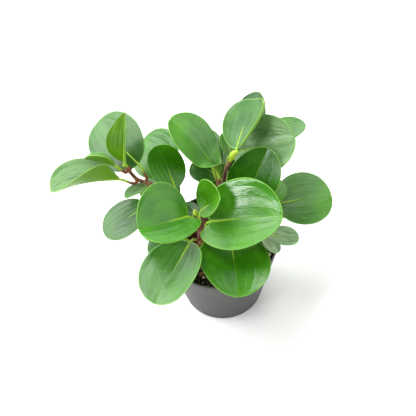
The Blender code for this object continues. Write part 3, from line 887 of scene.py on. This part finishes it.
def blade_mesh(leaf, stream):
    """The closed blade: a waved middle surface with its thickness thinning to a round rim.

    It gives the points, the faces, each point's place on the blade as along, across and
    depth (0 on top, 0.5 on the rim, 1 below) and the middle row of points, the midrib's.
    """
    u, v = np.meshgrid(both_ways(ALONG_STOPS), both_ways(ACROSS_STOPS), indexing="ij")
    x = u * np.sqrt(1 - v * v / 2)
    y = v * np.sqrt(1 - u * u / 2)
    square = np.maximum(np.abs(u), np.abs(v))
    surface = blade_surface(x, y, leaf)
    normal = surface_normals(surface)
    wave = blade_wave(x, y, stream) * WAVE_HEIGHT * min(leaf.length, leaf.width) / WAVE_BLADE
    veins, groove = blade_relief(x, y, square)
    middle = surface + normal * ((wave - BLADE_THICKNESS / 2) * MM)[..., None]
    rim = np.clip((square - RIM_START) / (1 - RIM_START), 0, 1)
    half = BLADE_HALF * np.sqrt(1 - rim ** 2)
    top = middle + normal * ((half - VEIN_DEPTH * veins - GROOVE_DEPTH * groove) * MM)[..., None]
    bottom = middle - normal * ((half + VEIN_DEPTH * veins) * MM)[..., None]
    rows, columns = u.shape
    index = np.arange(rows * columns).reshape(rows, columns)
    inside = square < 0.9999
    lower = index.copy()
    lower[inside] = rows * columns + np.arange(inside.sum())
    points = np.concatenate([top.reshape(-1, 3), bottom[inside]])
    faces = []
    for i in range(rows - 1):
        for j in range(columns - 1):
            faces.append((index[i, j], index[i + 1, j], index[i + 1, j + 1], index[i, j + 1]))
            faces.append((lower[i, j], lower[i, j + 1], lower[i + 1, j + 1], lower[i + 1, j]))
    faces = [tuple(int(k) for k in face) for face in faces]
    depth = np.where(inside, 0.0, 0.5).reshape(-1)
    place_top = np.stack([x.reshape(-1), y.reshape(-1), depth], -1)
    place_low = np.stack([x[inside], y[inside], np.ones(inside.sum())], -1)
    return points, faces, np.concatenate([place_top, place_low]), middle[:, columns // 2]


def petiole_route(leaf, points, rib):
    """The petiole's way: square off the stem, a smooth bend, then on under the midrib.

    It gives the points, the radii and the stalk values: 2 at the stem, 1 from the blade on.
    """
    middle, way = stem_at(points, leaf.node)
    out = Vector(leaf.base) * MM - middle
    out = (out - way * out.dot(way)).normalized()
    start = middle + out * (stem_radius(points, leaf.node) - PETIOLE_SINK) * MM
    root = start + out * (PETIOLE_ROOT + GAP + PETIOLE_SINK) * MM
    end = rib[0]
    midrib = (rib[RIB_AHEAD] - end).normalized()
    reach = (end - root).length
    lean = max((end - root).normalized().dot(way), 0)
    leave = (out + way * PETIOLE_LEAN * lean).normalized()
    route = [start, start.lerp(root, 0.5)]
    for i in range(PETIOLE_STEPS):
        t = i / PETIOLE_STEPS
        route.append(root * (1 + 2 * t) * (1 - t) ** 2 + end * t * t * (3 - 2 * t)
                     + leave * reach * t * (1 - t) ** 2 + midrib * reach * t * t * (t - 1))
    last = len(route) - 1
    radii = []
    for i in range(last + 1):
        flare = PETIOLE_FLARE * math.exp(-i / PETIOLE_FLARE_RINGS)
        slimming = (PETIOLE_BLADE_RADIUS - PETIOLE_STEM_RADIUS) * i / last
        radii.append((PETIOLE_STEM_RADIUS * (1 + flare) + slimming) * MM)
    stalk = [2 - i / last for i in range(last + 1)]
    shown = int(len(rib) * RIB_REACH)
    for i in range(shown):
        thinned = PETIOLE_BLADE_RADIUS * (1 - i / shown) ** RIB_THINNING
        route.append(rib[i])
        radii.append((thinned + PETIOLE_END_RADIUS) * MM)
        stalk.append(1.0)
    return route, radii, stalk


def make_leaf(name, leaf, look, points, material, stream):
    """Blade and petiole as one fine piece that stands for the frame's leaf."""
    blade, faces, place, rib = blade_mesh(leaf, stream)
    matrix = blade_matrix(leaf)
    turned = np.array(matrix)
    blade = blade @ turned[:3, :3].T + turned[:3, 3]
    rib = [matrix @ Vector((x, y, z - RIB_SINK * MM)) for x, y, z in rib]
    route, radii, stalk = petiole_route(leaf, points, rib)
    tube = np.array(sweep(route, radii, PETIOLE_SIDES))
    tube_place = np.tile((-1.0, 0.0, 1.0), (len(tube), 1))
    values = {
        "blade": np.concatenate([place, tube_place]),
        "stalk": np.concatenate([np.zeros(len(blade)), np.repeat(stalk, PETIOLE_SIDES)]),
        "look": np.tile(look, (len(blade) + len(tube), 1)),
    }
    faces += ring_faces(len(route), PETIOLE_SIDES, len(blade))
    mesh_piece(name + "_fine", np.concatenate([blade, tube]), faces, material,
               replaces=[name], values=values)


def bud_axis(share, length):
    """The bud's middle line: straight up to its neck's end, then curled over to one side."""
    if share <= BUD_STRAIGHT:
        return Vector((0, 0, length * share)), 0.0
    turn = BUD_TURN * length / BUD_LONGEST * (share - BUD_STRAIGHT) / (1 - BUD_STRAIGHT)
    radius = length * (share - BUD_STRAIGHT) / turn
    height = length * BUD_STRAIGHT + radius * math.sin(turn)
    return Vector((radius * (1 - math.cos(turn)), 0, height)), turn


def bud_sheet(length, width):
    """The rolled sheet's points: rows up the bud, each wound from its core outwards."""
    sheet = []
    for i in range(BUD_ROWS):
        share = i / (BUD_ROWS - 1)
        belly = math.sin(math.pi * min(share ** 1.3, 0.93)) ** 1.5
        body = width * (BUD_NECK + BUD_SWELL * belly)
        for j in range(BUD_COLUMNS):
            wound = j / (BUD_COLUMNS - 1)
            middle, turn = bud_axis(share * (1 - BUD_SLANT * wound), length)
            radius = body * (BUD_CORE + (1 - BUD_CORE) * wound)
            angle = BUD_WINDING * wound
            side = radius * math.cos(angle)
            sheet.append(middle + Vector((side * math.cos(turn), radius * math.sin(angle),
                                          -side * math.sin(turn))))
    return sheet


def bud_border():
    """The sheet's border points in order round it."""
    last = (BUD_ROWS - 1) * BUD_COLUMNS
    border = list(range(BUD_COLUMNS))
    border += [i * BUD_COLUMNS + BUD_COLUMNS - 1 for i in range(1, BUD_ROWS)]
    border += [last + j for j in reversed(range(BUD_COLUMNS - 1))]
    border += [i * BUD_COLUMNS for i in reversed(range(1, BUD_ROWS - 1))]
    return border


def make_bud(name, points, length, width, material):
    """A young leaf still rolled up: the sheet with its thickness, closed along its border."""
    sheet = bud_sheet(length, width)
    half = BUD_SHEET * min(width / BUD_SHEET_WIDTH, BUD_SHEET_MOST)
    top = []
    low = []
    for k, point in enumerate(sheet):
        i, j = divmod(k, BUD_COLUMNS)
        along = (point - sheet[k - 1]) if j else (sheet[k + 1] - point)
        up = (sheet[k + BUD_COLUMNS] - point) if i < BUD_ROWS - 1 else (point - sheet[k - BUD_COLUMNS])
        normal = along.cross(up).normalized()
        top.append(point + normal * half)
        low.append(point - normal * half)
    count = len(sheet)
    faces = []
    for i in range(BUD_ROWS - 1):
        for j in range(BUD_COLUMNS - 1):
            a = i * BUD_COLUMNS + j
            b = a + BUD_COLUMNS
            faces.append((a, a + 1, b + 1, b))
            faces.append((count + a, count + b, count + b + 1, count + a + 1))
    border = bud_border()
    for a, b in zip(border, border[1:] + border[:1]):
        faces.append((b, a, count + a, count + b))
    tip, way = stem_at(points, points[-1][2])
    right = (Vector((1, 0, 0)) - way * way.x).normalized()
    turned = Matrix((right, way.cross(right), way)).transposed()
    placed = [tip + turned @ (p * MM) for p in top + low]
    shares = np.repeat(np.arange(BUD_ROWS) / (BUD_ROWS - 1), BUD_COLUMNS)
    mesh_piece("bud_" + name + "_fine", placed, faces, material,
               replaces=["bud_" + name], values={"share": np.tile(shares, 2)})


def area_light(name, place, size, power):
    """A soft box that points at the plant."""
    data = bpy.data.lights.new(name, "AREA")
    data.shape = "RECTANGLE"
    data.size, data.size_y = size
    data.energy = power
    light = bpy.data.objects.new(name, data)
    bpy.context.scene.collection.objects.link(light)
    light.location = place
    light.rotation_mode = "QUATERNION"
    light.rotation_quaternion = (LIGHT_AIM - Vector(place)).to_track_quat("-Z", "Y")


def make_camera():
    """The photograph's own view: from the front and above, rolled a little."""
    ahead = Vector((0, math.cos(CAMERA_DOWN), -math.sin(CAMERA_DOWN)))
    right = Vector((1, 0, 0))
    up = right.cross(ahead)
    rolled_right = right * math.cos(CAMERA_ROLL) + up * math.sin(CAMERA_ROLL)
    rolled_up = up * math.cos(CAMERA_ROLL) - right * math.sin(CAMERA_ROLL)
    data = bpy.data.cameras.new("camera")
    data.lens = PHOTO_FOCAL_PX / PHOTO_SIZE * SENSOR
    data.sensor_width = SENSOR
    data.clip_start = CAMERA_NEAR
    camera = bpy.data.objects.new("camera", data)
    bpy.context.scene.collection.objects.link(camera)
    rotation = Matrix((rolled_right, rolled_up, -ahead)).transposed().to_4x4()
    camera.matrix_world = Matrix.Translation(CAMERA_TARGET - ahead * CAMERA_DISTANCE) @ rotation
    bpy.context.scene.camera = camera


def make_floor():
    """A pale floor that catches the plant's shadow."""
    mesh = bpy.data.meshes.new("floor")
    corners = [(-FLOOR_HALF, -FLOOR_HALF, 0), (FLOOR_HALF, -FLOOR_HALF, 0),
               (FLOOR_HALF, FLOOR_HALF, 0), (-FLOOR_HALF, FLOOR_HALF, 0)]
    mesh.from_pydata(corners, [], [(0, 1, 2, 3)])
    mesh.materials.append(floor_material())
    floor = bpy.data.objects.new("floor", mesh)
    bpy.context.scene.collection.objects.link(floor)
    floor.location.z = -FLOOR_DROP


def make_sky():
    """A white sky that grows from dim to bright towards the back."""
    world = bpy.data.worlds.new("studio")
    world.use_nodes = True
    tree = world.node_tree
    way = tree.nodes.new("ShaderNodeTexCoord").outputs["Generated"]
    lean = tree.nodes.new("ShaderNodeVectorMath")
    lean.operation = "DOT_PRODUCT"
    lean.inputs[1].default_value = SKY_LEAN
    tree.links.new(way, lean.inputs[0])
    ramp = tree.nodes.new("ShaderNodeMapRange")
    ramp.interpolation_type = "SMOOTHSTEP"
    ramp.inputs["From Min"].default_value, ramp.inputs["From Max"].default_value = SKY_RISE
    ramp.inputs["To Min"].default_value = SKY_DIM
    ramp.inputs["To Max"].default_value = SKY_BRIGHT
    tree.links.new(lean.outputs["Value"], ramp.inputs["Value"])
    background = tree.nodes["Background"]
    background.inputs["Color"].default_value = (1, 1, 1, 1)
    tree.links.new(ramp.outputs["Result"], background.inputs["Strength"])
    bpy.context.scene.world = world


def make_studio():
    """The floor, a large soft light on the left with four smaller ones, and the sky."""
    make_floor()
    for name, (place, size, power) in LIGHTS.items():
        area_light(name, place, size, power)
    make_sky()
    bpy.context.scene.view_settings.view_transform = "Standard"


def make_plant(stream):
    """Every stem with its leaves and its growing tip."""
    leaf_look = leaf_material()
    stem_look = stem_material()
    bud_look = bud_material()
    for name, points in STEMS.items():
        make_stem(name, points, stem_look)
        for i, leaf in enumerate(LEAVES[name]):
            make_leaf(f"leaf_{name}_{i + 1}", leaf, LOOKS[name][i], points, leaf_look, stream)
        length, width = BUDS[name]
        make_bud(name, points, length, width, bud_look)


def main():
    make_camera()
    make_studio()
    stream = random.Random(SEED)
    make_pot(pot_material())
    make_soil(soil_material())
    scatter("soil_crumbs", GRAINS["soil_crumbs"], soil_material(), stream)
    scatter("soil_bark", GRAINS["soil_bark"], bark_material(), stream)
    scatter("soil_perlite", GRAINS["soil_perlite"], perlite_material(), stream)
    make_plant(stream)


main()
